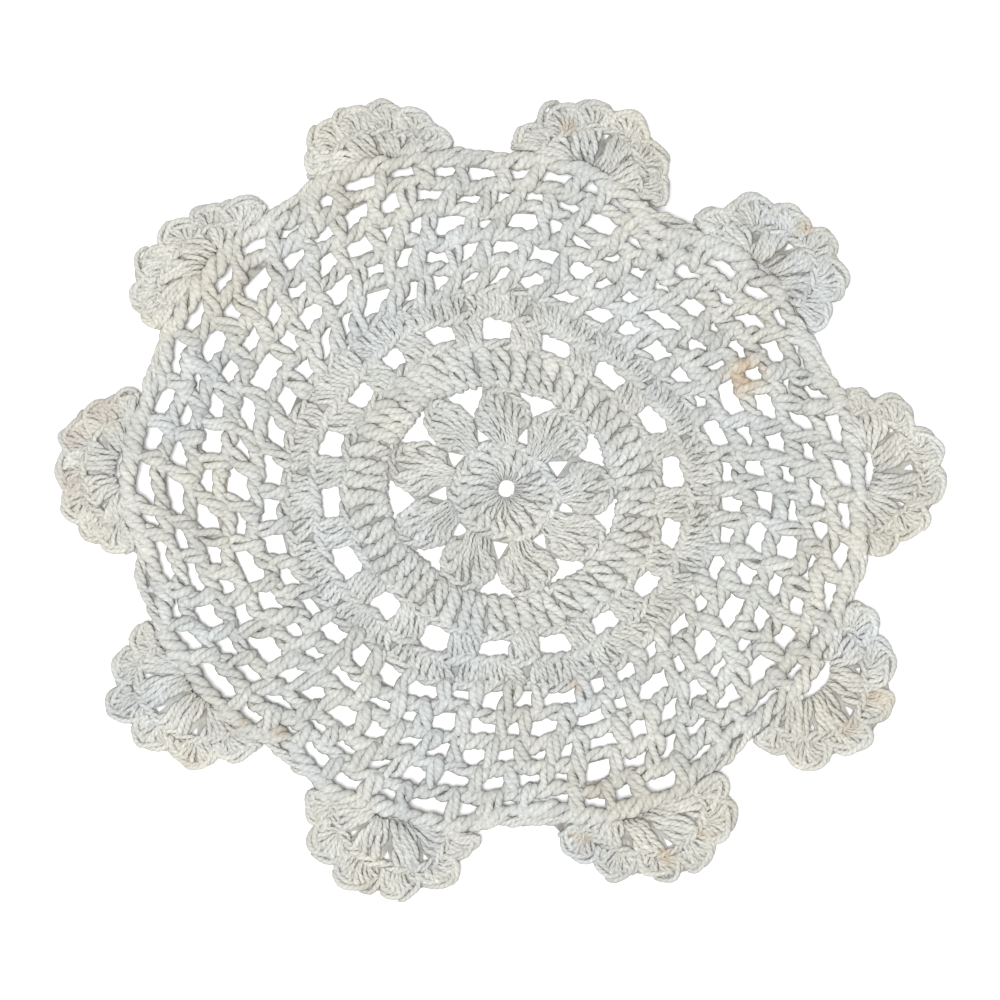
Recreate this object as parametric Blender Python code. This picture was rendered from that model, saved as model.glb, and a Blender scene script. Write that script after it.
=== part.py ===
"""Round crocheted lace doily with ten shell scallops, lying flat.

One thread makes the whole thing, so it is one sheet: a close medallion, five rounds of
open mesh, a chain rim and ten scallops. The sheet lies on z = 0. Its rim lifts a little
under each scallop and rolls up most where the mesh is drawn in.
"""
import math

import bmesh
import bpy
from mathutils.geometry import delaunay_2d_cdt

MM = 0.001
THICKNESS = 3.2 * MM              # two yarns, one over the other
CENTRE = (1.79 * MM, 3.19 * MM)   # the ring in the middle, from the middle of the outline

# The scallops, anticlockwise from the +X side. Angles in degrees, lengths in mm:
# first and last edge, the angle and radius of the tip, and the radius of the chain rim
# at the notch that follows.
SCALLOPS = (
    # first, last, tip_at, tip_radius, notch_at, notch_radius
    (-11.2, 15.8, 3.0, 148.6, 21.5, 116.0),
    (26.3, 54.2, 40.3, 138.2, 58.0, 107.0),
    (60.6, 88.2, 73.5, 134.0, 94.5, 113.2),
    (98.8, 122.8, 110.3, 138.0, 128.0, 121.0),
    (130.9, 156.2, 145.8, 146.0, 161.5, 125.6),
    (165.9, 190.3, 178.3, 151.4, 195.0, 126.2),
    (200.8, 226.9, 212.5, 151.8, 231.5, 118.3),
    (237.1, 265.9, 252.7, 144.2, 272.0, 114.4),
    (278.5, 306.5, 295.8, 145.2, 310.5, 119.0),
    (313.9, 341.6, 326.6, 150.2, 346.0, 123.0),
)
PETALS = 6                        # shells along one scallop's edge
PETAL_NOTCH = 1.5                 # mm, dip between two shells
SHOULDER = 0.62                   # share of a scallop's height lost at its shoulders

# Gaps between the medallion's rounds: how far out (1 is the rim), sides of the gap,
# width along the round and height across it in mm, and the angle of every gap.
MEDALLION_GAPS = (
    # place, sides, width, height, angles
    (0.000, 10, 4.6, 4.6, (0,)),
    (0.157, 4, 2.8, 3.0, (37, 76, 128, 154, 199, 230, 274, 310, 348)),
    (0.286, 8, 7.6, 7.2, (24, 74, 112, 146, 184, 219, 261, 302, 341)),
    (0.466, 8, 7.4, 6.6, (5, 26, 49, 73, 94, 113, 131, 149, 166,
                          185, 204, 224, 244, 266, 288, 309, 327, 346)),
)

# The open mesh: how far out each round of cells is, how many cells it has, the angle of
# its first cell, and the width and height of a cell in mm.
MESH_ROUNDS = (
    # place, cells, first, width, height
    (0.612, 40, 5.0, 4.2, 3.8),
    (0.700, 43, 4.5, 4.4, 4.0),
    (0.777, 51, 2.0, 4.2, 3.8),
    (0.857, 51, 6.0, 4.4, 3.8),
    (0.937, 51, 2.5, 4.6, 3.8),
)

# The long gap under each scallop, where its chain arches away from the rim.
ARCH_HALF_ANGLE = 4.2
ARCH_HEIGHT = 2.8
ARCH_OUT = 0.8

# How far the sheet lifts off the surface near the rim, in mm.
LIFT_ROUND = 0.5
LIFT_UNDER_SCALLOP = 1.8
LIFT_ROLLED = 3.0
ROLLED_AT = 58.0
ROLLED_WIDTH = 15.0


def ease(x, low, high):
    t = min(max((x - low) / (high - low), 0.0), 1.0)
    return t * t * (3.0 - 2.0 * t)


def turn(a, b):
    """Signed angle from b to a, in degrees, between -180 and 180."""
    return (a - b + 180.0) % 360.0 - 180.0


def rim_radius(angle):
    """Outer radius of the chain rim: an eased curve from notch to notch."""
    notches = [(row[4], row[5]) for row in SCALLOPS]
    for (a0, r0), (a1, r1) in zip(notches, notches[1:] + notches[:1]):
        span = (a1 - a0) % 360.0
        along = (angle - a0) % 360.0
        if along <= span:
            return r0 + (r1 - r0) * ease(along, 0.0, span)
    return notches[0][1]


def scallop_reach(row, angle):
    """How far a scallop stands out past the rim at an angle inside its span."""
    first, last, tip_at, tip_radius = row[:4]
    side = (tip_at - first) if angle < tip_at else (last - tip_at)
    u = min(abs(angle - tip_at) / side, 1.0)
    height = tip_radius - rim_radius(tip_at)
    along = (angle - first) / (last - first)
    dip = 1.0 - abs(math.sin(math.pi * PETALS * along))
    return height * (1.0 - SHOULDER * u ** 1.9) - PETAL_NOTCH * dip * dip


def at(angle, radius):
    a = math.radians(angle)
    return (CENTRE[0] + radius * MM * math.cos(a), CENTRE[1] + radius * MM * math.sin(a))


def outline():
    """The edge of the sheet: round each scallop, then along the rim to the next one."""
    points = []
    for i, row in enumerate(SCALLOPS):
        first, last = row[0], row[1]
        following = SCALLOPS[(i + 1) % len(SCALLOPS)][0] + (360.0 if i == 9 else 0.0)
        points.append(at(first, rim_radius(first)))
        steps = 4 * PETALS
        for k in range(steps + 1):
            angle = first + (last - first) * k / steps
            tuck = 1.6 * abs(2.0 * k / steps - 1.0) ** 12
            points.append(at(angle, rim_radius(angle) + scallop_reach(row, angle) - tuck))
        points.append(at(last, rim_radius(last)))
        for k in (1, 2, 3):
            angle = last + (following - last) * k / 4
            points.append(at(angle, rim_radius(angle)))
    return points


def gap(angle, radius, width, height, sides):
    """One gap as a regular outline of the given sides, its flats along the round."""
    a = math.radians(angle)
    points = []
    for k in range(sides):
        turned = 2.0 * math.pi * (k + 0.5) / sides
        across = radius + 0.5 * height * math.cos(turned) / math.cos(math.pi / sides)
        along = 0.5 * width * math.sin(turned) / math.cos(math.pi / sides)
        x = across * math.cos(a) - along * math.sin(a)
        y = across * math.sin(a) + along * math.cos(a)
        points.append((CENTRE[0] + x * MM, CENTRE[1] + y * MM))
    return points


def arch(row):
    """The long gap between the rim and a scallop, bent along the rim."""
    points = []
    for side, order in ((1.0, (-1.0, -0.4, 0.4, 1.0)), (-1.0, (1.0, 0.4, -0.4, -1.0))):
        for share in order:
            angle = row[2] + share * ARCH_HALF_ANGLE
            half = 0.5 * ARCH_HEIGHT * (1.0 - 0.5 * share * share)
            points.append(at(angle, rim_radius(angle) + ARCH_OUT + side * half))
    return points


def gaps():
    found = []
    for place, sides, width, height, angles in MEDALLION_GAPS:
        for angle in angles:
            found.append(gap(angle, place * rim_radius(angle), width, height, sides))
    for place, cells, first, width, height in MESH_ROUNDS:
        for k in range(cells):
            angle = first + 360.0 * k / cells
            found.append(gap(angle, place * rim_radius(angle), width, height, 4))
    for row in SCALLOPS:
        found.append(arch(row))
    return found


def stiffening_points():
    """Points inside the sheet that carry its lift and keep its triangles even."""
    points = []
    for place, count in ((0.09, 8), (0.21, 14), (0.375, 24), (0.54, 36)):
        for k in range(count):
            angle = 360.0 * (k + 0.5) / count
            points.append(at(angle, place * rim_radius(angle)))
    for row in SCALLOPS:
        for share in (0.15, 0.38, 0.62, 0.85):
            angle = row[0] + share * (row[1] - row[0])
            reach = scallop_reach(row, angle)
            points.append(at(angle, rim_radius(angle) + 0.5 * reach))
    return points


def lift(x, y):
    """Height of the underside above the surface that the doily lies on."""
    dx, dy = x - CENTRE[0], y - CENTRE[1]
    angle = math.degrees(math.atan2(dy, dx))
    place = math.hypot(dx, dy) / (MM * rim_radius(angle))
    rise = LIFT_ROUND
    for row in SCALLOPS:
        half = 0.5 * (row[1] - row[0])
        away = turn(angle, row[0] + half) / half
        rise += LIFT_UNDER_SCALLOP * math.exp(-1.5 * away * away)
    away = turn(angle, ROLLED_AT) / ROLLED_WIDTH
    rise += LIFT_ROLLED * math.exp(-away * away)
    return rise * MM * ease(place, 0.74, 0.97) * (1.0 - ease(place, 1.0, 1.16))


def make_sheet():
    """Fill the outline, leave the gaps out, lift the rim and thicken upwards."""
    loops = [outline()] + gaps()
    coords = []
    faces = []
    for loop in loops:
        faces.append(list(range(len(coords), len(coords) + len(loop))))
        coords.extend(loop)
    coords.extend(stiffening_points())
    filled = delaunay_2d_cdt(coords, [], faces, 1, 1e-7, True)
    places, triangles, origins = filled[0], filled[2], filled[5]
    bm = bmesh.new()
    verts = [bm.verts.new((p.x, p.y, lift(p.x, p.y))) for p in places]
    for triangle, origin in zip(triangles, origins):
        if list(origin) == [0]:
            bm.faces.new([verts[k] for k in triangle])
    bmesh.ops.delete(bm, geom=[v for v in bm.verts if not v.link_faces], context="VERTS")
    for face in bm.faces:
        if face.normal.z < 0.0:
            face.normal_flip()
    mesh = bpy.data.meshes.new("doily")
    bm.to_mesh(mesh)
    bm.free()
    return mesh


def cotton():
    material = bpy.data.materials.new("cotton_yarn")
    material.use_nodes = True
    shader = material.node_tree.nodes["Principled BSDF"]
    shader.inputs["Base Color"].default_value = (0.60, 0.61, 0.57, 1.0)
    shader.inputs["Roughness"].default_value = 0.9
    shader.inputs["Metallic"].default_value = 0.0
    return material


for old in list(bpy.data.objects):
    bpy.data.objects.remove(old, do_unlink=True)

sheet_mesh = make_sheet()
sheet_mesh.materials.append(cotton())
doily = bpy.data.objects.new("doily", sheet_mesh)
bpy.context.scene.collection.objects.link(doily)
thicken = doily.modifiers.new("thickness", "SOLIDIFY")
thicken.thickness = THICKNESS
thicken.offset = 1.0
thicken.use_even_offset = True
sheet_mesh.shade_smooth()
sheet_mesh.set_sharp_from_angle(angle=math.radians(35.0))
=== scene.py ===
"""A round crocheted cotton doily with ten shell scallops, laid flat.

Every stitch is laid as its own strands of yarn. The rounds come in the order in which
they are worked: wheel, shells, solid band, clusters, fans, open mesh, rim, scallops.
"""
import math

import bpy
import numpy as np
from mathutils.geometry import delaunay_2d_cdt
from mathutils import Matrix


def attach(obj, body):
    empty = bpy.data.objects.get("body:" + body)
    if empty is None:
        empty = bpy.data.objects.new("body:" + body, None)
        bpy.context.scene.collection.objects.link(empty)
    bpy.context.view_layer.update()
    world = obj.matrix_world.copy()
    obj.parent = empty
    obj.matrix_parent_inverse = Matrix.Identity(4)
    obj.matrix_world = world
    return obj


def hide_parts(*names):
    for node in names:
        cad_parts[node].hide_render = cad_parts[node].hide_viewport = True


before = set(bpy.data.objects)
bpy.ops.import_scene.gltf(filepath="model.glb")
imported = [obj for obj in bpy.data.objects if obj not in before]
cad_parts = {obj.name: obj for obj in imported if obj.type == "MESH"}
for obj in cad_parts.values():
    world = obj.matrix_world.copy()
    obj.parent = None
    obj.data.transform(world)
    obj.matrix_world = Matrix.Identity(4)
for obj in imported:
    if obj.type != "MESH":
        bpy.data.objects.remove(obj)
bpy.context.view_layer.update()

# ---------------------------------------------------------------------------
# The wheel: eighteen tall stitches worked into a middle ring, and a chain round them.
# All the rounds grow from it, in one soft cotton yarn, so the yarn, the stitches and the
# plan of the rounds come first here.
# ---------------------------------------------------------------------------
MM = 0.001
CENTRE = np.array((1.79, 3.19))   # the middle ring, in mm
RIM = 117.0                       # radius of the rim, in mm, if the doily were round

# The scallops, anticlockwise from the +X side: first and last edge, the angle and radius
# of the tip, the notch that follows with the rim's radius there, the petals, and how far
# the fan stands off the rim at its middle.
SCALLOPS = (
    # first, last, tip_at, tip_radius, notch_at, notch_radius, petals, gap
    (-11.2, 15.8, 3.0, 148.6, 21.5, 116.0, 6, 3.0),
    (26.3, 54.2, 40.3, 138.2, 58.0, 107.0, 6, 2.6),
    (60.6, 88.2, 73.5, 134.0, 94.5, 113.2, 6, 1.2),
    (98.8, 122.8, 110.3, 138.0, 128.0, 121.0, 6, 0.6),
    (130.9, 156.2, 145.8, 146.0, 161.5, 125.6, 6, 1.0),
    (165.9, 190.3, 178.3, 151.0, 195.0, 126.2, 7, 3.0),
    (200.8, 226.9, 212.5, 151.8, 231.5, 118.3, 6, 0.8),
    (237.1, 265.9, 252.7, 144.2, 272.0, 114.4, 6, 1.0),
    (278.5, 306.5, 295.8, 145.2, 310.5, 119.0, 6, 0.6),
    (313.9, 341.6, 326.6, 150.2, 346.0, 123.0, 6, 3.4),
)
DRAWN_IN = 4.2                    # mm that the last rounds are drawn in at a notch
ROLLED_AT = 58.0                  # the notch where the rim has rolled up
ROLLED_IN = 1.6                   # mm more that they are drawn in there
SLIPPED = np.array((0.5, -1.7))   # how far the middle has slipped from its place, in mm
RIM_LIFT = 0.5                    # mm that the rim stands off the table
SCALLOP_LIFT = 1.8                # mm more, at the middle of a scallop
ROLL_LIFT = 3.0                   # mm more, at the roll

# The middle rounds have turned a little on the outer ones, most of all at these places.
TURNED = (
    # degrees turned, angle of the place, degrees that it reaches either way
    (9.0, 92.0, 42.0),
    (2.4, 298.0, 38.0),
)
chance = np.random.default_rng(27)   # the unevenness of the hand, drawn stitch by stitch


def ease(x, low, high):
    """0 up to low, 1 from high on, and a soft step between them."""
    t = np.clip((np.asarray(x, float) - low) / (high - low), 0.0, 1.0)
    return t * t * (3.0 - 2.0 * t)


def rim_radius(angle):
    """Outer radius of the rim, in mm: an eased curve from notch to notch."""
    at = np.array([row[4] for row in SCALLOPS])
    radius = np.array([row[5] for row in SCALLOPS])
    at = np.concatenate((at[-1:] - 360.0, at, at[:1] + 360.0))
    radius = np.concatenate((radius[-1:], radius, radius[:1]))
    angle = np.asarray(angle, float) % 360.0
    k = np.clip(np.searchsorted(at, angle, side="right") - 1, 0, len(at) - 2)
    share = (angle - at[k]) / (at[k + 1] - at[k])
    return radius[k] + (radius[k + 1] - radius[k]) * ease(share, 0.0, 1.0)


def away_from(angle, place):
    """Degrees from a place on the round, either way."""
    return (angle - place + 180.0) % 360.0 - 180.0


def polar(angle, radius):
    """A point at that angle and radius from the middle ring."""
    a = np.radians(angle)
    return np.stack((CENTRE[0] + radius * np.cos(a), CENTRE[1] + radius * np.sin(a)), -1)


def plan(angle, radius):
    """Where a point of the regular round pattern lies on the real doily, in mm."""
    angle = np.asarray(angle, float)
    turned = 0.0
    for by, at, reach in TURNED:
        turned = turned + by * np.exp(-(away_from(angle, at) / reach) ** 2)
    angle = angle + turned * (1.0 - ease(radius, 60.0, 84.0))
    drawn = ROLLED_IN * np.exp(-(away_from(angle, ROLLED_AT) / 7.0) ** 2)
    for row in SCALLOPS:
        drawn = drawn + DRAWN_IN * np.exp(-(away_from(angle, row[4]) / 5.5) ** 2)
    radius = radius - drawn * ease(radius, 97.0, 115.0)
    slipped = 1.0 - ease(radius, 20.0, 105.0)
    return polar(angle, radius * rim_radius(angle) / RIM) + np.multiply.outer(slipped, SLIPPED)


def uneven(xy):
    """The pull of a hand that never works two stitches quite alike, in mm."""
    x, y = xy[:, 0], xy[:, 1]
    dx = (0.70 * np.sin(0.083 * x + 0.131 * y + 1.0) + 0.55 * np.sin(0.26 * x - 0.21 * y + 4.0)
          + 0.30 * np.sin(0.61 * x + 0.47 * y + 2.5))
    dy = (0.70 * np.sin(0.121 * x - 0.097 * y + 2.0) + 0.55 * np.sin(0.22 * x + 0.27 * y + 5.5)
          + 0.30 * np.sin(0.53 * x - 0.58 * y + 0.5))
    return np.stack((x + dx, y + dy), -1)


def lift(xy):
    """How far the underside stands off the table, in mm: most under the rim and scallops."""
    dx, dy = xy[:, 0] - CENTRE[0], xy[:, 1] - CENTRE[1]
    angle = np.degrees(np.arctan2(dy, dx))
    place = np.hypot(dx, dy) / rim_radius(angle)
    rise = np.full(len(xy), RIM_LIFT)
    for row in SCALLOPS:
        half = 0.5 * (row[1] - row[0])
        rise += SCALLOP_LIFT * np.exp(-1.5 * (away_from(angle, row[0] + half) / half) ** 2)
    rise += ROLL_LIFT * np.exp(-(away_from(angle, ROLLED_AT) / 15.0) ** 2)
    return rise * ease(place, 0.74, 0.97) * (1.0 - ease(place, 1.0, 1.16))


# The yarn is four plies twisted together, about 2 mm across where it lies loose. A stitch
# is three strands of it that turn round each other; each strand is a closed tube.
STRANDS = 3
STRAND_WIDE = 0.49                # width of a strand, as a share of the stitch's width
SHORTEST = 1.6                    # mm: a shorter strand is left out
SIDES = 7
SPACING = 1.2                     # mm between the rings of a tube
FLATTENED = 0.74                  # height of a strand to its width, pressed by the iron
ON_TABLE = 0.05                   # mm: the lowest that a strand can lie
SHOWS = 0.37                      # share of a turn, each way, in which a strand shows
END_MARGIN = 0.06                 # margins of a strand's own patch in the bake map
SIDE_MARGIN = 0.02
PATCH_SHARE = 0.92                # share of its place in the bake map that a patch takes


def run_along(points):
    """The length of a path up to each of its points, in mm."""
    return np.concatenate(((0.0,), np.cumsum(np.linalg.norm(np.diff(points, axis=0), axis=1))))


def smooth_path(points):
    """A curve through the points, with a new point about every SPACING."""
    p = np.vstack((2.0 * points[0] - points[1], points, 2.0 * points[-1] - points[-2]))
    pieces = []
    for k in range(1, len(p) - 2):
        a, b, c, d = p[k - 1:k + 3]
        steps = max(int(round(np.linalg.norm((c - b)[:3]) / SPACING)), 1)
        t = (np.arange(steps) / steps)[:, None]
        pieces.append(0.5 * (2.0 * b + (c - a) * t + (2.0 * a - 5.0 * b + 4.0 * c - d) * t ** 2
                             + (3.0 * b - a - 3.0 * c + d) * t ** 3))
    pieces.append(points[-1:])
    return np.vstack(pieces)


def rope(yarns, path, width, lay):
    """Strands laid round each other along a path of x, y and height, in mm. A strand is laid
    only where it shows: it comes up at one side, crosses on the slant and goes under."""
    path = np.asarray(path, float)
    line = smooth_path(np.column_stack((path, np.broadcast_to(width, len(path)))))
    run = run_along(line[:, :3])
    way = np.gradient(line[:, :2], axis=0)
    way /= np.linalg.norm(way, axis=1)[:, None] + 1e-9
    step = lay / STRANDS
    middle = chance.uniform(-1.0, 0.0) * step
    while middle < run[-1] + 0.3 * lay:
        low = max(middle - SHOWS * lay, 0.0)
        high = min(middle + SHOWS * lay, run[-1])
        if high - low > SHORTEST:
            s = np.linspace(low, high, max(int((high - low) / SPACING) + 1, 4))
            x, y, z, w, wx, wy = (np.interp(s, run, c) for c in (*line.T, *way.T))
            turn = 2.0 * math.pi * (s - middle) / lay
            thick = STRAND_WIDE * w * chance.uniform(0.86, 1.12)
            off = 0.5 * (1.0 - STRAND_WIDE) * w
            across = off * np.sin(turn) + chance.uniform(-0.3, 0.3)
            z = z + chance.uniform(-0.15, 0.2)
            fade = 1.0 - 0.22 * np.abs((s - middle) / (SHOWS * lay)) ** 3
            tone = np.full(len(s), chance.uniform(-1.0, 1.0))
            yarns.append(np.column_stack((x - wy * across, y + wx * across,
                                          z + 0.62 * off * np.cos(turn), 0.5 * thick * fade, tone)))
        middle += step * chance.uniform(0.78, 1.20)


def chain(yarns, flat_path, width, lay=13.0, height=1.6):
    """Chain loops along a path on the plan: seen from above they lie like a slack rope. lay
    is the length in which their strands make one turn, in mm."""
    flat_path = np.asarray(flat_path, float)
    wide = width * (1.0 + 0.05 * np.sin(np.arange(len(flat_path)) * 1.7 + chance.uniform(0.0, 6.0)))
    rope(yarns, np.column_stack((flat_path, np.full(len(flat_path), height))), wide, lay)


def tall_stitch(yarns, foot, head, wide_foot, wide_head, lay, over=0.0, bend=0.0):
    """A double crochet from foot to head. over is how far its foot reaches back over the
    chain that it holds, and bend how far its middle leans aside, in mm."""
    foot, head = np.asarray(foot), np.asarray(head)
    along = head - foot
    length = np.linalg.norm(along)
    along = along / length
    side = np.array((-along[1], along[0]))
    # Each row: mm from the foot, height in mm, and share of the full width.
    if over > 0.0:
        rows = [(-over - 0.2, 0.8, 0.85), (-over, 1.7, 0.95),
                (-0.5 * over, 2.6, 1.0), (0.3, 2.6, 1.0)]
    else:
        rows = [(-0.9, 1.2, 0.85), (0.1 * length, 1.65, 1.0)]
    rows += [(0.36 * length, 1.95, 1.0), (0.7 * length, 1.8, 1.0),
             (length, 1.6, 1.0), (length + 1.0, 1.0, 0.85)]
    path, wide = [], []
    for place, height, size in rows:
        t = min(max(place / length, 0.0), 1.0)
        path.append(np.append(foot + along * place + side * bend * math.sin(math.pi * t), height))
        wide.append((wide_foot + (wide_head - wide_foot) * t) * size)
    rope(yarns, path, wide, lay * chance.uniform(0.85, 1.15))


def tube(line):
    """Rings, closing points and run of one strand, laid on the table."""
    flat = uneven(line[:, :2])
    centre = np.column_stack((flat, line[:, 2] + lift(flat)))
    radius = line[:, 3] * (1.0 + 0.05 * np.sin(2.9 * np.arange(len(line)) + line[0, 4] * 9.0))
    way = np.gradient(centre, axis=0)
    way /= np.linalg.norm(way, axis=1)[:, None]
    # A narrower ring and a point round off each end.
    first = centre[0] - way[0] * 0.45 * radius[0]
    last = centre[-1] + way[-1] * 0.45 * radius[-1]
    centre = np.vstack((first, centre, last))
    way = np.vstack((way[:1], way, way[-1:]))
    radius = np.concatenate((radius[:1] * 0.6, radius, radius[-1:] * 0.6))
    out = np.cross(way, (0.0, 0.0, 1.0))
    out /= np.linalg.norm(out, axis=1)[:, None]
    up = np.cross(out, way)
    turn = 2.0 * np.pi * np.arange(SIDES) / SIDES
    rings = (centre[:, None] + radius[:, None, None]
             * (out[:, None] * np.cos(turn)[None, :, None]
                + FLATTENED * up[:, None] * np.sin(turn)[None, :, None]))
    rings[:, :, 2] = np.maximum(rings[:, :, 2], ON_TABLE)
    tips = np.vstack((first - way[0] * 0.25 * radius[1], last + way[-1] * 0.25 * radius[-2]))
    tips[:, 2] = np.maximum(tips[:, 2], ON_TABLE)
    return rings, tips, run_along(centre)


def make_yarn(name, yarns, material):
    """Join the strands into one mesh with yarn coordinates and a patch of its own for each."""
    verts, quads, tris, quad_uv, tri_uv, quad_patch, tri_patch = [], [], [], [], [], [], []
    deep, tones = [], []
    base = 0
    cells = int(math.ceil(math.sqrt(len(yarns))))
    room = PATCH_SHARE / cells
    long = 1.0 - 2.0 * END_MARGIN
    wide = 1.0 - 2.0 * SIDE_MARGIN
    for number, line in enumerate(yarns):
        rings, tips, run = tube(line)
        n = len(rings)
        verts.append(rings.reshape(-1, 3))
        verts.append(tips)
        height = np.concatenate((line[:1, 2], line[:, 2], line[-1:, 2]))
        above = (rings[:, :, 2] - rings[:, :, 2].mean(1)[:, None]) + height[:, None]
        deep.append(above.reshape(-1))
        deep.append(height[[0, -1]])
        tones.append(np.full(n * SIDES + 2, line[0, 4]))
        i, j = np.meshgrid(np.arange(n - 1), np.arange(SIDES), indexing="ij")
        i, j = i.ravel(), j.ravel()
        k = (j + 1) % SIDES
        quads.append(base + np.stack((i * SIDES + j, i * SIDES + k,
                                      (i + 1) * SIDES + k, (i + 1) * SIDES + j), 1))
        corner_run = np.stack((run[i], run[i], run[i + 1], run[i + 1]), 1)
        corner_turn = np.stack((j, j + 1, j + 1, j), 1) / SIDES
        quad_uv.append(np.stack((corner_run, corner_turn), 2))
        corner = np.array((number % cells, number // cells)) / cells
        patch = np.stack((END_MARGIN + long * corner_run / run[-1],
                          SIDE_MARGIN + wide * corner_turn), 2)
        quad_patch.append(corner + room * patch)
        ends = np.arange(SIDES)
        after = (ends + 1) % SIDES
        head = base + n * SIDES
        tail = head + 1
        last = head - SIDES
        tris.append(np.stack((np.full(SIDES, head), base + after, base + ends), 1))
        tris.append(np.stack((np.full(SIDES, tail), last + ends, last + after), 1))
        for along, pair in ((0.0, (ends + 1, ends)), (run[-1], (ends, ends + 1))):
            tip_turn = np.stack((ends + 0.5, pair[0], pair[1]), 1) / SIDES
            tri_uv.append(np.stack((np.full((SIDES, 3), along), tip_turn), 2))
            end = np.full(SIDES, END_MARGIN + long * along / run[-1])
            outer = np.full(SIDES, 0.0 if along == 0.0 else 1.0)
            spot = np.stack((np.stack((outer, end, end), 1), SIDE_MARGIN + wide * tip_turn), 2)
            tri_patch.append(corner + room * spot)
        base += n * SIDES + 2
    verts = np.vstack(verts) * MM
    quads, tris = np.vstack(quads), np.vstack(tris)
    mesh = bpy.data.meshes.new(name)
    mesh.vertices.add(len(verts))
    mesh.vertices.foreach_set("co", verts.ravel())
    mesh.loops.add(quads.size + tris.size)
    mesh.loops.foreach_set("vertex_index", np.concatenate((quads.ravel(), tris.ravel())))
    mesh.polygons.add(len(quads) + len(tris))
    starts = np.concatenate((4 * np.arange(len(quads)), quads.size + 3 * np.arange(len(tris))))
    mesh.polygons.foreach_set("loop_start", starts)
    mesh.update(calc_edges=True)
    mesh.shade_smooth()
    yarn_map = np.concatenate((np.vstack(quad_uv).reshape(-1, 2), np.vstack(tri_uv).reshape(-1, 2)))
    patch_map = np.concatenate((np.vstack(quad_patch).reshape(-1, 2),
                                np.vstack(tri_patch).reshape(-1, 2)))
    mesh.uv_layers.new(name="OFBake").data.foreach_set("uv", patch_map.ravel())
    mesh.uv_layers.new(name="yarn").data.foreach_set("uv", yarn_map.ravel())
    for label, values in (("depth", deep), ("tone", tones)):
        mesh.attributes.new(label, "FLOAT", "POINT").data.foreach_set("value", np.concatenate(values))
    mesh.materials.append(material)
    piece = bpy.data.objects.new(name, mesh)
    bpy.context.scene.collection.objects.link(piece)
    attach(piece, "root")
    return piece


# Cotton yarn, mercerised, then washed many times: matte and soft, off-white gone grey, a
# little creamier on the scallops. The eye gets fine slanting plies and a few old stains.
CLEAN = "#C4C3BB"
CREAM = "#C6C1B2"
COOL = "#BFC2C1"
# painted shade: the colour that the lower sides of the strands are darkened towards
SHADE_COLOUR = "#7F7970"
TAN = "#B0997A"
BLUSH = "#AC9F97"

# Scales of its patterns, per metre, from their sizes on the real yarn.
BROAD = 26.0                      # changes of tone from one part to the next, 38 mm across
WORN = 75.0                       # worn and washed-out patches, 13 mm
RAGGED = 200.0                    # edges of the stains, 5 mm
SHADE_PATCHES = 300.0                      # patches in the painted shade between the strands, 3 mm
FIBRES = 1200.0                   # fibres, 0.02 mm in truth; grains of 0.8 mm, so they show
PLIES = 4
PLY_PITCH = 1.75                  # mm between the plies: one turn of the four is 7 mm

# Old stains: where they are, in mm from the middle of the box, and their size.
STAINS = (
    # x, y, radius, strength, colour
    (82.0, 40.0, 11.0, 0.75, TAN),
    (23.5, 123.0, 5.0, 0.55, TAN),
    (103.5, 90.0, 4.5, 0.45, TAN),
    (-85.5, -73.5, 6.0, 0.45, TAN),
    (-73.0, -79.5, 5.0, 0.40, TAN),
    (25.0, -64.0, 5.0, 0.35, TAN),
    (32.5, -99.0, 4.8, 0.40, TAN),
    (28.0, -115.0, 5.0, 0.45, TAN),
    (56.0, -121.0, 5.0, 0.45, TAN),
    (69.5, -113.0, 4.5, 0.45, TAN),
    (126.0, -68.0, 4.8, 0.40, TAN),
    (116.5, -79.0, 4.8, 0.40, TAN),
    (-132.5, 30.0, 10.0, 0.45, BLUSH),
    (-141.5, 21.0, 8.0, 0.45, BLUSH),
    (-143.0, 5.5, 7.0, 0.40, BLUSH),
)


def linear(colour):
    """An sRGB hex colour as linear light."""
    parts = [int(colour[k:k + 2], 16) / 255.0 for k in (1, 3, 5)]
    return [c / 12.92 if c <= 0.04045 else ((c + 0.055) / 1.055) ** 2.4 for c in parts] + [1.0]


def add(material, kind, settings=(), links=()):
    """Add a node: its properties and input values by name, and what feeds its inputs."""
    tree = material.node_tree
    node = tree.nodes.new(kind)
    for key, value in dict(settings).items():
        if isinstance(key, str) and hasattr(node, key):
            setattr(node, key, value)
        else:
            node.inputs[key].default_value = value
    for key, socket in dict(links).items():
        tree.links.new(socket, node.inputs[key])
    return node


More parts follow.
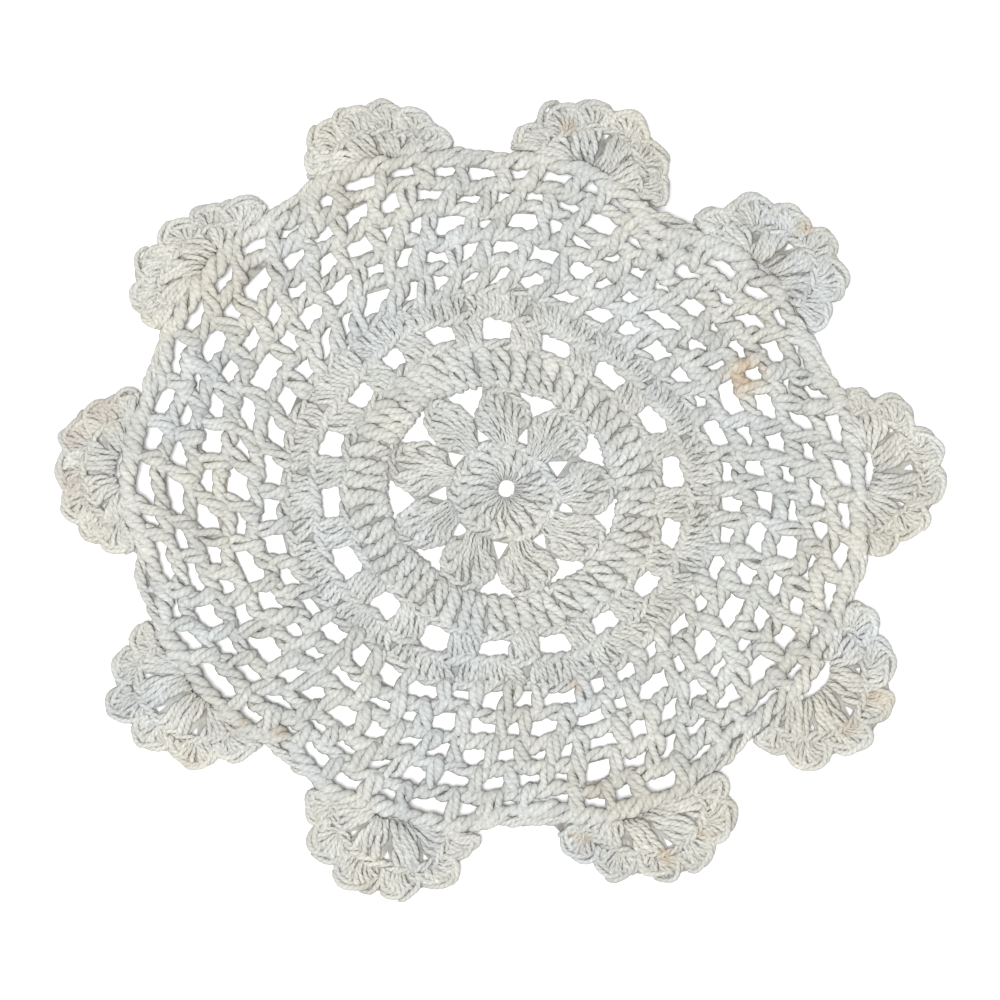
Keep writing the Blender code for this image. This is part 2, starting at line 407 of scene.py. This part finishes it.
def cotton(name, shade_dim=1.0):
    """Washed cotton yarn; its last argument is painted shade, a darker tone for strands that lie deep
    in the fabric.
    """
    material = bpy.data.materials.new(name)
    material.use_nodes = True
    tree = material.node_tree
    shader = tree.nodes["Principled BSDF"]
    shader.inputs["Roughness"].default_value = 0.68
    shader.inputs["Specular IOR Level"].default_value = 0.40
    shader.inputs["Sheen Weight"].default_value = 0.03
    shader.inputs["Sheen Roughness"].default_value = 0.5
    place = add(material, "ShaderNodeTexCoord").outputs["Object"]

    # Broad changes of tone, and the creamier scallops; distances are in metres.
    broad = add(material, "ShaderNodeTexNoise", {"Scale": BROAD, "Detail": 3.0}, {"Vector": place})
    warm = add(material, "ShaderNodeMapRange", {1: 0.35, 2: 0.70}, {0: broad.outputs["Fac"]})
    middle = add(material, "ShaderNodeVectorMath", {"operation": "DISTANCE", 1: (0.002, 0.003, 0.0)},
                 {0: place})
    outer = add(material, "ShaderNodeMapRange", {1: 0.085, 2: 0.140, 3: 0.10, 4: 0.75},
                {0: middle.outputs["Value"]})
    cream = add(material, "ShaderNodeMath", {"operation": "MULTIPLY"},
                {0: warm.outputs[0], 1: outer.outputs[0]})
    hue = add(material, "ShaderNodeMix", {"data_type": "RGBA", 6: linear(COOL), 7: linear(CLEAN)},
              {0: warm.outputs[0]})
    hue = add(material, "ShaderNodeMix", {"data_type": "RGBA", 7: linear(CREAM)},
              {0: cream.outputs[0], 6: hue.outputs[2]})

    # Stains soak in unevenly, with soft edges.
    blotch = add(material, "ShaderNodeTexNoise", {"Scale": RAGGED, "Detail": 3.0}, {"Vector": place})
    ragged = add(material, "ShaderNodeMapRange", {1: 0.3, 2: 0.7, 3: -0.002, 4: 0.002},
                 {0: blotch.outputs["Fac"]})
    for x, y, radius, strength, colour in STAINS:
        far = add(material, "ShaderNodeVectorMath",
                  {"operation": "DISTANCE", 1: (x * MM, y * MM, 0.003)}, {0: place})
        edge = add(material, "ShaderNodeMath", {"operation": "ADD"},
                   {0: far.outputs["Value"], 1: ragged.outputs[0]})
        soak = add(material, "ShaderNodeMapRange",
                   {"interpolation_type": "SMOOTHSTEP",
                    1: radius * MM, 2: 0.1 * radius * MM, 3: 0.0, 4: strength},
                   {0: edge.outputs[0]})
        hue = add(material, "ShaderNodeMix", {"data_type": "RGBA", 7: linear(colour)},
                  {0: soak.outputs[0], 6: hue.outputs[2]})

    # Painted shade between the strands: the lower side of each stitch is darkened towards a shade
    # colour, in small patches. The open mesh gets more of it than the close-worked middle and the
    # scallops do.
    depth = add(material, "ShaderNodeAttribute", {"attribute_name": "depth"})
    painted_shade = add(material, "ShaderNodeMapRange", {1: 2.8, 2: 1.1, 3: 0.0, 4: 0.85},
               {0: depth.outputs["Fac"]})
    shade_noise = add(material, "ShaderNodeTexNoise", {"Scale": SHADE_PATCHES, "Detail": 3.0}, {"Vector": place})
    patchy_shade = add(material, "ShaderNodeMapRange", {1: 0.4, 2: 0.6, 3: 0.25, 4: 1.1},
                  {0: shade_noise.outputs["Fac"]})
    mesh_in = add(material, "ShaderNodeMapRange", {1: 0.064, 2: 0.076, 3: 0.64, 4: 1.16},
                  {0: middle.outputs["Value"]})
    mesh_out = add(material, "ShaderNodeMapRange", {1: 0.116, 2: 0.128, 3: 1.0, 4: 0.60},
                   {0: middle.outputs["Value"]})
    for factor in (patchy_shade, mesh_in, mesh_out):
        painted_shade = add(material, "ShaderNodeMath", {"operation": "MULTIPLY"},
                   {0: painted_shade.outputs[0], 1: factor.outputs[0]})
    hue = add(material, "ShaderNodeMix", {"data_type": "RGBA", 7: linear(SHADE_COLOUR)},
              {0: painted_shade.outputs[0], 6: hue.outputs[2]})

    # The plies wind round the yarn as slanting grooves, as far apart as they really are. Their
    # valleys are darkened in the colour as painted shade.
    yarn_map = add(material, "ShaderNodeUVMap", {"uv_map": "yarn"})
    split = add(material, "ShaderNodeSeparateXYZ", {}, {0: yarn_map.outputs[0]})
    pitch = add(material, "ShaderNodeMath", {"operation": "MULTIPLY", 1: 2.0 * math.pi / PLY_PITCH},
                {0: split.outputs[0]})
    around = add(material, "ShaderNodeMath", {"operation": "MULTIPLY", 1: 2.0 * math.pi * PLIES},
                 {0: split.outputs[1]})
    slant = add(material, "ShaderNodeMath", {"operation": "SUBTRACT"},
                {0: pitch.outputs[0], 1: around.outputs[0]})
    ply = add(material, "ShaderNodeMath", {"operation": "SINE"}, {0: slant.outputs[0]})
    ply_groove_shade = add(material, "ShaderNodeMapRange", {1: -1.0, 2: 0.3, 3: 0.91, 4: 1.02},
                 {0: ply.outputs[0]})

    # Fibres, worn patches, a tone of its own for each strand, painted shade on deep strands, and a
    # slightly greyer middle.
    fibre = add(material, "ShaderNodeTexNoise", {"Scale": FIBRES, "Detail": 4.0}, {"Vector": place})
    speck = add(material, "ShaderNodeMapRange", {1: 0.3, 2: 0.7, 3: 0.86, 4: 1.09},
                {0: fibre.outputs["Fac"]})
    patchy = add(material, "ShaderNodeTexNoise", {"Scale": WORN, "Detail": 4.0}, {"Vector": place})
    worn = add(material, "ShaderNodeMapRange", {1: 0.35, 2: 0.65, 3: 0.91, 4: 1.06},
               {0: patchy.outputs["Fac"]})
    tone = add(material, "ShaderNodeAttribute", {"attribute_name": "tone"})
    each = add(material, "ShaderNodeMapRange", {1: -1.0, 2: 1.0, 3: 0.92 * shade_dim, 4: 1.07 * shade_dim},
               {0: tone.outputs["Fac"]})
    greyer = add(material, "ShaderNodeMapRange", {1: 0.112, 2: 0.130, 3: 0.944, 4: 0.966},
                 {0: middle.outputs["Value"]})
    # Painted shade: the ply valleys and the darker tone of deep strands. Fibres, worn patches, each
    # strand's tone and the greyer middle are the yarn's own colour.
    shade = ply_groove_shade
    for factor in (speck, worn, each, greyer):
        shade = add(material, "ShaderNodeMath", {"operation": "MULTIPLY"},
                    {0: shade.outputs[0], 1: factor.outputs[0]})
    colour = add(material, "ShaderNodeVectorMath", {"operation": "SCALE"},
                 {0: hue.outputs[2], "Scale": shade.outputs[0]})
    tree.links.new(colour.outputs[0], shader.inputs["Base Color"])
    height = add(material, "ShaderNodeMath", {"operation": "MULTIPLY_ADD", 1: 0.35},
                 {0: ply.outputs[0], 2: fibre.outputs["Fac"]})
    bump = add(material, "ShaderNodeBump", {"Strength": 0.5, "Distance": 0.00035},
               {"Height": height.outputs[0]})
    tree.links.new(bump.outputs[0], shader.inputs["Normal"])
    return material


cotton_yarn = cotton("washed_cotton_yarn")


def arc(first, last, radius, bow=0.0, count=0):
    """Points of a round from one angle to another; bow pushes its middle outward, in mm."""
    count = count or max(int(abs(last - first) * radius / 260.0) + 2, 4)
    t = np.linspace(0.0, 1.0, count)
    return plan(first + (last - first) * t, radius + bow * np.sin(math.pi * t))


WHEEL = 18
WHEEL_FOOT = 3.7                  # radii in mm: of feet, heads and the chain round them
WHEEL_HEAD = 14.4
WHEEL_CHAIN = 15.8
wheel = []
for k in range(WHEEL):
    angle = 360.0 * k / WHEEL + chance.uniform(-1.5, 1.5)
    foot = plan(angle + 2.0, WHEEL_FOOT)
    head = plan(angle - 1.5, WHEEL_HEAD)
    tall_stitch(wheel, foot, head, 1.6, 6.2, lay=13.0)
chain(wheel, arc(0.0, 360.0, WHEEL_CHAIN, count=60), 4.2, lay=10.0)
wheel_yarn = make_yarn("wheel_yarn", wheel, cotton_yarn)

# ---------------------------------------------------------------------------
# Shells: nine round fans of seven tall stitches on the wheel, each with its chain edge.
# They touch at their shoulders, and leave a small gap below and a large one above.
# ---------------------------------------------------------------------------
SHELLS = 9
SHELL_STITCHES = 7
SHELL_FIRST = 4.0                 # angle of the first shell's middle
SHELL_FOOT = 19.0                 # radius of the feet, in mm
SHELL_LONG = 15.6                 # length of the middle stitch, in mm
SHELL_SHORTER = 6.9               # mm that the end stitches are shorter
SHELL_SPREAD = 48.0               # degrees from the middle stitch to an end one
shells = []


def shell_point(middle, fan, long):
    """A point of a shell: fan in degrees from its axis, long in mm from its foot."""
    across = long * math.sin(math.radians(fan))
    radius = SHELL_FOOT + long * math.cos(math.radians(fan))
    return plan(middle + math.degrees(across / radius), radius)


def shell_length(fan):
    """How long a shell's stitch is, in mm, at that many degrees from the middle one."""
    return SHELL_LONG - SHELL_SHORTER * (fan / SHELL_SPREAD) ** 2


for k in range(SHELLS):
    middle = SHELL_FIRST + 360.0 * k / SHELLS + chance.uniform(-2.2, 2.2)
    for j in range(SHELL_STITCHES):
        share = 2.0 * j / (SHELL_STITCHES - 1) - 1.0
        fan = SHELL_SPREAD * share + chance.uniform(-2.0, 2.0)
        foot = plan(middle + 10.5 * share, SHELL_FOOT - 0.6)
        head = shell_point(middle, fan, shell_length(fan) - 0.8)
        tall_stitch(shells, foot, head, 1.8, 4.7, lay=13.0, bend=-0.9 * share, over=2.0)
    edge = [shell_point(middle, fan, shell_length(fan) + 0.9) for fan in np.linspace(57.0, -57.0, 17)]
    chain(shells, edge, 3.6, lay=9.0)
shell_yarn = make_yarn("shell_yarn", shells, cotton_yarn)

# ---------------------------------------------------------------------------
# Solid band: a chain that joins the tips of the shells, and a round of double crochets
# worked side by side on it, with no gaps.
# ---------------------------------------------------------------------------
BAND = 54
BAND_JOIN = 37.6                  # radii in mm: of the joining chain, feet, heads and chain
BAND_FOOT = 38.6
BAND_HEAD = 48.4
BAND_CHAIN = 50.0
band = []
chain(band, arc(0.0, 360.0, BAND_JOIN, count=100), 3.6, lay=12.0)
for k in range(BAND):
    angle = 360.0 * (k + 0.5) / BAND + chance.uniform(-0.4, 0.4)
    foot = plan(angle - 0.6, BAND_FOOT)
    head = plan(angle + 0.8, BAND_HEAD)
    tall_stitch(band, foot, head, 5.1, 6.5, lay=12.0, over=2.2)
chain(band, arc(0.0, 360.0, BAND_CHAIN, count=130), 4.2, lay=11.0)
band_yarn = make_yarn("band_yarn", band, cotton_yarn)

# ---------------------------------------------------------------------------
# Clusters and fans: eighteen clusters of four with chain arches between them, and a fan
# of eight double crochets worked into each arch.
# ---------------------------------------------------------------------------
FANS = 18
FAN_FIRST = 5.0                   # angle of the first gap's middle
CLUSTER = 4
CLUSTER_FOOT = 51.6               # radii in mm, from here to the chain on the fans
CLUSTER_HEAD = 58.4
FAN_ARCH = 59.5
FAN_FOOT = 61.4
FAN_HEAD = 67.6
FAN_TOP = 68.6
FAN_STITCHES = 8
fans = []

for k in range(FANS):
    over_gap = FAN_FIRST + 360.0 * k / FANS
    middle = over_gap + 180.0 / FANS
    for j in range(CLUSTER):
        share = 2.0 * j / (CLUSTER - 1) - 1.0
        foot = plan(middle + 3.8 * share, CLUSTER_FOOT)
        head = plan(middle + 3.5 * share, CLUSTER_HEAD)
        tall_stitch(fans, foot, head, 3.7, 3.7, lay=12.0, over=2.0)
    chain(fans, arc(over_gap - 10.0, over_gap + 10.0, FAN_ARCH, bow=0.4), 4.8, lay=10.0)
    for j in range(FAN_STITCHES):
        share = 2.0 * j / (FAN_STITCHES - 1) - 1.0
        foot = plan(over_gap + 7.6 * share, FAN_FOOT)
        head_angle = over_gap + 8.9 * share + chance.uniform(-0.3, 0.3)
        head = plan(head_angle, FAN_HEAD - 1.2 * share * share)
        tall_stitch(fans, foot, head, 3.1, 4.0, lay=12.0, over=1.8)
    top = np.linspace(-1.0, 1.0, 14)
    chain(fans, plan(over_gap + 9.6 * top, FAN_TOP - 1.2 * top ** 4), 4.2)
fan_yarn = make_yarn("fan_yarn", fans, cotton_yarn)

# ---------------------------------------------------------------------------
# Open mesh: five rounds of one double crochet and two chains. Each double crochet is
# worked over the chain of the round before, midway between the two below it.
# ---------------------------------------------------------------------------
MESH = (
    # chain radius in mm, cells, angle of the first cell's middle, mm across the chains
    (77.6, 40, 5.0, 5.9),
    (87.2, 43, 4.5, 6.0),
    (96.7, 51, 2.0, 5.9),
    (106.1, 51, 6.0, 5.9),
    (115.1, 51, 2.5, 6.7),
)
POST_WIDE = 6.2                   # mm across its double crochets
POST_END = 1.6                    # mm from the middle of a chain to a foot or a head
LEAN = 1.3                        # mm that a foot leans one way and its head the other
mesh_posts = []                   # angles of feet and of heads, two radii and chain width
below = FAN_TOP
for radius, cells, first, chain_wide in MESH:
    pitch = 360.0 / cells
    posts = first - 0.5 * pitch + pitch * np.arange(cells)
    posts = posts + chance.uniform(-0.17, 0.17, cells) * pitch
    lean = np.degrees(LEAN / radius) * chance.uniform(-0.2, 1.8, cells)
    mesh_posts.append((posts + lean, posts - lean, below, radius, chain_wide))
    below = radius


def mesh_round(yarns, feet, heads, below, radius, chain_wide):
    """One round of the mesh: its double crochets, and the chains between their heads."""
    cells = len(feet)
    dip = np.clip(chance.normal(0.0, 0.85, cells), -1.9, 1.9)
    for k in range(cells):
        foot = plan(feet[k], below + POST_END)
        head = plan(heads[k], radius - POST_END)
        wide_foot = POST_WIDE * chance.uniform(0.92, 1.12)
        wide_head = POST_WIDE * chance.uniform(0.85, 1.0)
        tall_stitch(yarns, foot, head, wide_foot, wide_head, lay=18.0, over=3.2,
                    bend=chance.uniform(-0.6, 0.6))
    for k in range(cells):
        following = heads[(k + 1) % cells] + (360.0 if k == cells - 1 else 0.0)
        chain(yarns, arc(heads[k] - 0.5, following + 0.5, radius, bow=dip[k], count=7),
              chain_wide * chance.uniform(0.92, 1.08), lay=12.0 * chance.uniform(0.85, 1.15))


for label, rows in (("inner", mesh_posts[:3]), ("outer", mesh_posts[3:])):
    laid = []
    for row in rows:
        mesh_round(laid, *row)
    make_yarn(label + "_mesh_yarn", laid, cotton_yarn)

# ---------------------------------------------------------------------------
# Scallops: on each arch of the rim, a fan of twelve double crochets, and on the fan six
# or seven small petals with a thick chain edge. A chain along the rim joins them.
# ---------------------------------------------------------------------------
FAN_FEET = 12
PETAL_STITCHES = 7
PETAL_DEEP = 11.0                 # mm from a petal's foot to its edge
PETAL_ABOVE = 2.8                 # mm from a petal's foot to the middle of its round edge
PETAL_LOWEST = 1.6                # mm: the nearest that a petal comes to the rim
GROUP = 43.0                      # degrees of the fan that three stitches take
ARCH_WIDE = 9.0                   # half the length of the gap under the fan
END_TURN = 82.0                   # degrees from the scallop's axis to its end petals


def scallop_size(row):
    """Half the width of a scallop, its height and how far its tip leans aside, in mm."""
    first, last, tip_at, tip_radius = row[:4]
    middle = 0.5 * (first + last)
    wide = 0.5 * math.radians(last - first) * (float(rim_radius(middle)) + 12.0)
    tall = tip_radius - float(rim_radius(tip_at))
    return wide, tall, math.radians(tip_at - middle) * tip_radius


def on_rim(row, spot):
    """Places of a scallop on the plan: mm along the rim from its middle, and mm off it."""
    spot = np.asarray(spot, float)
    middle = 0.5 * (row[0] + row[1])
    angle = middle + np.degrees(spot[..., 0] / (float(rim_radius(middle)) + 4.0 + 0.6 * spot[..., 1]))
    return polar(angle, rim_radius(angle) + spot[..., 1])


def fan_spot(row, turn, share):
    """A spot of the fan: turn in degrees from its middle, share 0 at the arch and 1 on the
    line where the petals start."""
    wide, tall, skew = scallop_size(row)
    a = np.radians(turn)
    low = np.stack((-ARCH_WIDE * np.sin(a), 0.6 + row[7] * np.cos(a)), -1)
    top = np.stack((-(wide - PETAL_DEEP - 0.5) * np.sin(a) + 0.7 * skew * np.cos(a),
                    0.6 + (tall - PETAL_DEEP - 0.6) * np.cos(a)), -1)
    return low + (top - low) * share


def petal_spot(row, turn, fan, long, above=0.0):
    """A spot of the petal at that turn: fan in degrees from its axis and long in mm, from a
    point so far above its foot."""
    base = fan_spot(row, turn, 1.0)
    ahead = fan_spot(row, turn - 2.0, 1.0) - fan_spot(row, turn + 2.0, 1.0)
    ahead /= np.linalg.norm(ahead)
    outward = np.array((-ahead[1], ahead[0]))
    a = np.radians(np.asarray(fan, float))[..., None]
    long = np.asarray(long, float)[..., None]
    spot = base + above * outward + (ahead * np.sin(a) + outward * np.cos(a)) * long
    spot[..., 1] = np.maximum(spot[..., 1], PETAL_LOWEST)
    return spot


def fan_turn(number, spread):
    """The turn of a fan's stitch, in degrees; the stitches draw together in threes."""
    group = number // 3
    middle = GROUP * (group - 1.5)
    return middle + (GROUP * (number / 3.0 - group - 1.0 / 3.0)) * spread


def scallop(yarns, row):
    """One scallop: its fan, the chain on it, the two chains along the rim, its petals."""
    petals = row[6]
    for k in range(FAN_FEET):
        foot = on_rim(row, fan_spot(row, fan_turn(k, 1.0), 0.06))
        head = on_rim(row, fan_spot(row, fan_turn(k, 0.70), 0.92))
        tall_stitch(yarns, foot, head, 3.1, 4.6, lay=15.0, bend=chance.uniform(-0.3, 0.3))
    edge = on_rim(row, fan_spot(row, np.linspace(88.0, -88.0, 22), 1.0))
    chain(yarns, edge, 3.6, lay=10.0)
    wide = scallop_size(row)[0]
    for side in (-1.0, 1.0):
        ends = np.linspace((side * 7.5, 0.4), (side * (wide - 2.0), 2.2), 5)
        chain(yarns, on_rim(row, ends), 4.0, lay=12.0, height=1.4)
    for k in range(petals):
        turn = END_TURN * (2.0 * k / (petals - 1) - 1.0)
        reach = (PETAL_DEEP - PETAL_ABOVE) * chance.uniform(0.92, 1.05)
        for j in range(PETAL_STITCHES):
            share = 2.0 * j / (PETAL_STITCHES - 1) - 1.0
            foot = on_rim(row, petal_spot(row, turn, 90.0 * share, abs(2.6 * share)))
            head = on_rim(row, petal_spot(row, turn, 84.0 * share, reach - 3.0, PETAL_ABOVE))
            if np.linalg.norm(head - foot) > 2.0:
                tall_stitch(yarns, foot, head, 1.9, 4.1, lay=14.0, bend=-0.5 * share)
        around = np.linspace(-108.0, 108.0, 15)
        edge = petal_spot(row, turn, around, np.full(15, reach - 2.0), PETAL_ABOVE)
        chain(yarns, on_rim(row, edge), 4.2, lay=22.0, height=1.8)


for label, rows in (("right", (SCALLOPS[9], *SCALLOPS[:2])), ("top", SCALLOPS[2:5]),
                    ("left", SCALLOPS[5:7]), ("bottom", SCALLOPS[7:9])):
    laid = []
    for row in rows:
        scallop(laid, row)
        following = SCALLOPS[(SCALLOPS.index(row) + 1) % len(SCALLOPS)][0]
        start = row[1] - 3.0
        reach = (following - row[1]) % 360.0 + 6.0
        angles = np.linspace(start, start + reach, 8)
        chain(laid, polar(angles, rim_radius(angles) - 2.0), 3.9, lay=13.0, height=1.9)
    make_yarn(label + "_scallop_yarn", laid, cotton_yarn)

# ---------------------------------------------------------------------------
# Backs of the stitches: the half of the yarn that lies under the rest and closes the
# close-worked parts, as one thin sheet. It is cut away at every gap.
# ---------------------------------------------------------------------------
BACKS_LOW = 0.3                   # mm above the table
BACKS_THICK = 1.0
BACKS_DEPTH = 1.4                 # height that sets how much painted shade they get, in mm
BACKS_SHADE_DIM = 0.82                  # painted shade: how much darker they are coloured, as they lie under the rest
RING_GAP = 4.6                    # radius of the opening in the middle ring, in mm


def gap_loop(angle, radius, wide, high, sides=8):
    """The outline of a gap in a round."""
    loop = []
    for k in range(sides):
        a = 2.0 * math.pi * (k + 0.5) / sides
        r = radius + 0.5 * high * math.cos(a) / math.cos(math.pi / sides)
        turn = math.degrees(0.5 * wide * math.sin(a) / math.cos(math.pi / sides) / max(r, 1.0))
        loop.append(plan(angle + turn, r))
    return np.array(loop)


def backs_loops():
    """The outline of the backs, then every gap in them."""
    edge = []
    for number, row in enumerate(SCALLOPS):
        for turn in np.linspace(84.0, -84.0, 23):
            edge.append(on_rim(row, petal_spot(row, turn, 0.0, PETAL_DEEP - 4.0)))
        following = SCALLOPS[(number + 1) % len(SCALLOPS)][0]
        if following < row[1]:
            following += 360.0
        for share in (0.1, 0.5, 0.9):
            angle = row[1] + share * (following - row[1])
            edge.append(polar(angle, rim_radius(angle) - 2.6))
    loops = [np.array(edge)]
    loops.append(np.array([plan(36.0 * k, RING_GAP) for k in range(10)]))
    for k in range(SHELLS):
        gap = SHELL_FIRST + 360.0 / SHELLS * (k + 0.5)
        small = ((-8.0, 18.0), (8.3, 18.0), (0.0, 23.5))
        large = ((0.0, 27.0), (9.0, 32.5), (10.5, 36.6), (-10.5, 36.6), (-9.0, 32.5))
        for corners in (small, large):
            loops.append(np.array([plan(gap + turn, r) for turn, r in corners]))
    for k in range(FANS):
        loops.append(gap_loop(FAN_FIRST + 360.0 * k / FANS, 55.0, 11.8, 7.4))
    for feet, heads, below, radius, chain_wide in mesh_posts:
        for k in range(len(feet)):
            after = (k + 1) % len(feet)
            wrapped = 360.0 if after == 0 else 0.0
            margin = math.degrees(1.3 / radius)
            loops.append(np.array([plan(feet[k] + margin, below + POST_END),
                                   plan(heads[k] + margin, radius - POST_END),
                                   plan(heads[after] + wrapped - margin, radius - POST_END),
                                   plan(feet[after] + wrapped - margin, below + POST_END)]))
    for row in SCALLOPS:
        inside = list(on_rim(row, fan_spot(row, np.linspace(88.0, -88.0, 8), 0.06)))
        inside += list(on_rim(row, ((8.4, -0.6), (-8.4, -0.6))))
        loops.append(np.array(inside))
        for k in range(3):
            turn = GROUP * (k - 1.0)
            slit = [fan_spot(row, turn + aside, share)
                    for aside, share in ((0.0, 0.62), (3.5, 0.88), (-3.5, 0.88))]
            loops.append(on_rim(row, np.array(slit)))
    return loops


def is_anticlockwise(loop):
    x, y = loop[:, 0], loop[:, 1]
    return np.sum(x * np.roll(y, -1) - y * np.roll(x, -1)) > 0.0


# Fill the outline, then keep only the parts that lie in no gap.
coords, faces = [], []
for loop in backs_loops():
    if not is_anticlockwise(loop):
        loop = loop[::-1]
    faces.append(list(range(len(coords), len(coords) + len(loop))))
    coords.extend(loop)
filled = delaunay_2d_cdt([tuple(c) for c in coords], [], faces, 1, 1e-5, True)
places = np.array([tuple(p) for p in filled[0]])
flat = uneven(places)
verts = np.column_stack((flat, BACKS_LOW + lift(flat))) * MM
kept = [tuple(t) for t, origin in zip(filled[2], filled[5]) if list(origin) == [0]]
backs_mesh = bpy.data.meshes.new("stitch_backs")
backs_mesh.from_pydata(verts.tolist(), [], kept)
backs_mesh.update()
# Painted shade: the backs lie low, so they get much of the darkening of lower sides.
depths = np.full(len(verts), BACKS_DEPTH)
backs_mesh.attributes.new("depth", "FLOAT", "POINT").data.foreach_set("value", depths)
# Painted shade: the backs get a darker copy of the yarn.
backs_mesh.materials.append(cotton("cotton_stitch_backs", shade_dim=BACKS_SHADE_DIM))
backs = bpy.data.objects.new("stitch_backs", backs_mesh)
bpy.context.scene.collection.objects.link(backs)
thicken = backs.modifiers.new("thickness", "SOLIDIFY")
thicken.thickness = BACKS_THICK * MM
thicken.offset = 1.0

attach(backs, "root")
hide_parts("doily")

# ---------------------------------------------------------------------------
# The table and the light: a plain white top, one broad soft lamp high above and a little
# to the near left, and even light from all round.
# ---------------------------------------------------------------------------
TABLE_HALF = 1.5                  # m
table_mesh = bpy.data.meshes.new("table")
corners = [(x * TABLE_HALF, y * TABLE_HALF, 0.0) for x, y in ((-1, -1), (1, -1), (1, 1), (-1, 1))]
table_mesh.from_pydata(corners, [], [(0, 1, 2, 3)])
table = bpy.data.objects.new("table", table_mesh)
table.location.z = -0.0002        # a hair below the yarn, so that they never share a plane
bpy.context.scene.collection.objects.link(table)
white_top = bpy.data.materials.new("white_table_top")
white_top.use_nodes = True
white_shader = white_top.node_tree.nodes["Principled BSDF"]
white_shader.inputs["Base Color"].default_value = (0.95, 0.95, 0.95, 1.0)
white_shader.inputs["Roughness"].default_value = 0.9
table_mesh.materials.append(white_top)

lamp_data = bpy.data.lights.new("overhead_lamp", "SUN")
lamp_data.energy = 3.55
lamp_data.angle = math.radians(34.0)
lamp = bpy.data.objects.new("overhead_lamp", lamp_data)
lamp.rotation_euler = (math.radians(8.0), math.radians(-8.0), 0.0)
bpy.context.scene.collection.objects.link(lamp)

surround = bpy.data.worlds.new("even_light")
surround.use_nodes = True
background = surround.node_tree.nodes["Background"]
background.inputs["Color"].default_value = (0.98, 0.99, 1.0, 1.0)
background.inputs["Strength"].default_value = 0.46
bpy.context.scene.world = surround
bpy.context.scene.view_settings.view_transform = "Standard"

# The camera looks almost straight down, as one looks at a doily laid out on a table.
CAMERA_FAR = 1.30                 # m from the doily
CAMERA_SEES = 0.3335              # m across its view at that distance
CAMERA_TILT = 3.0                 # degrees from straight down, seen from the near side
SENSOR = 36.0                     # mm
camera_data = bpy.data.cameras.new("camera")
camera_data.sensor_width = SENSOR
camera_data.lens = SENSOR * CAMERA_FAR / CAMERA_SEES
camera_data.clip_end = 10.0
camera = bpy.data.objects.new("camera", camera_data)
tilt = math.radians(CAMERA_TILT)
camera.location = (0.0005, -0.0017 - CAMERA_FAR * math.sin(tilt),
                   CAMERA_FAR * math.cos(tilt) + 0.002)
camera.rotation_euler = (tilt, 0.0, 0.0)
bpy.context.scene.collection.objects.link(camera)
bpy.context.scene.camera = camera
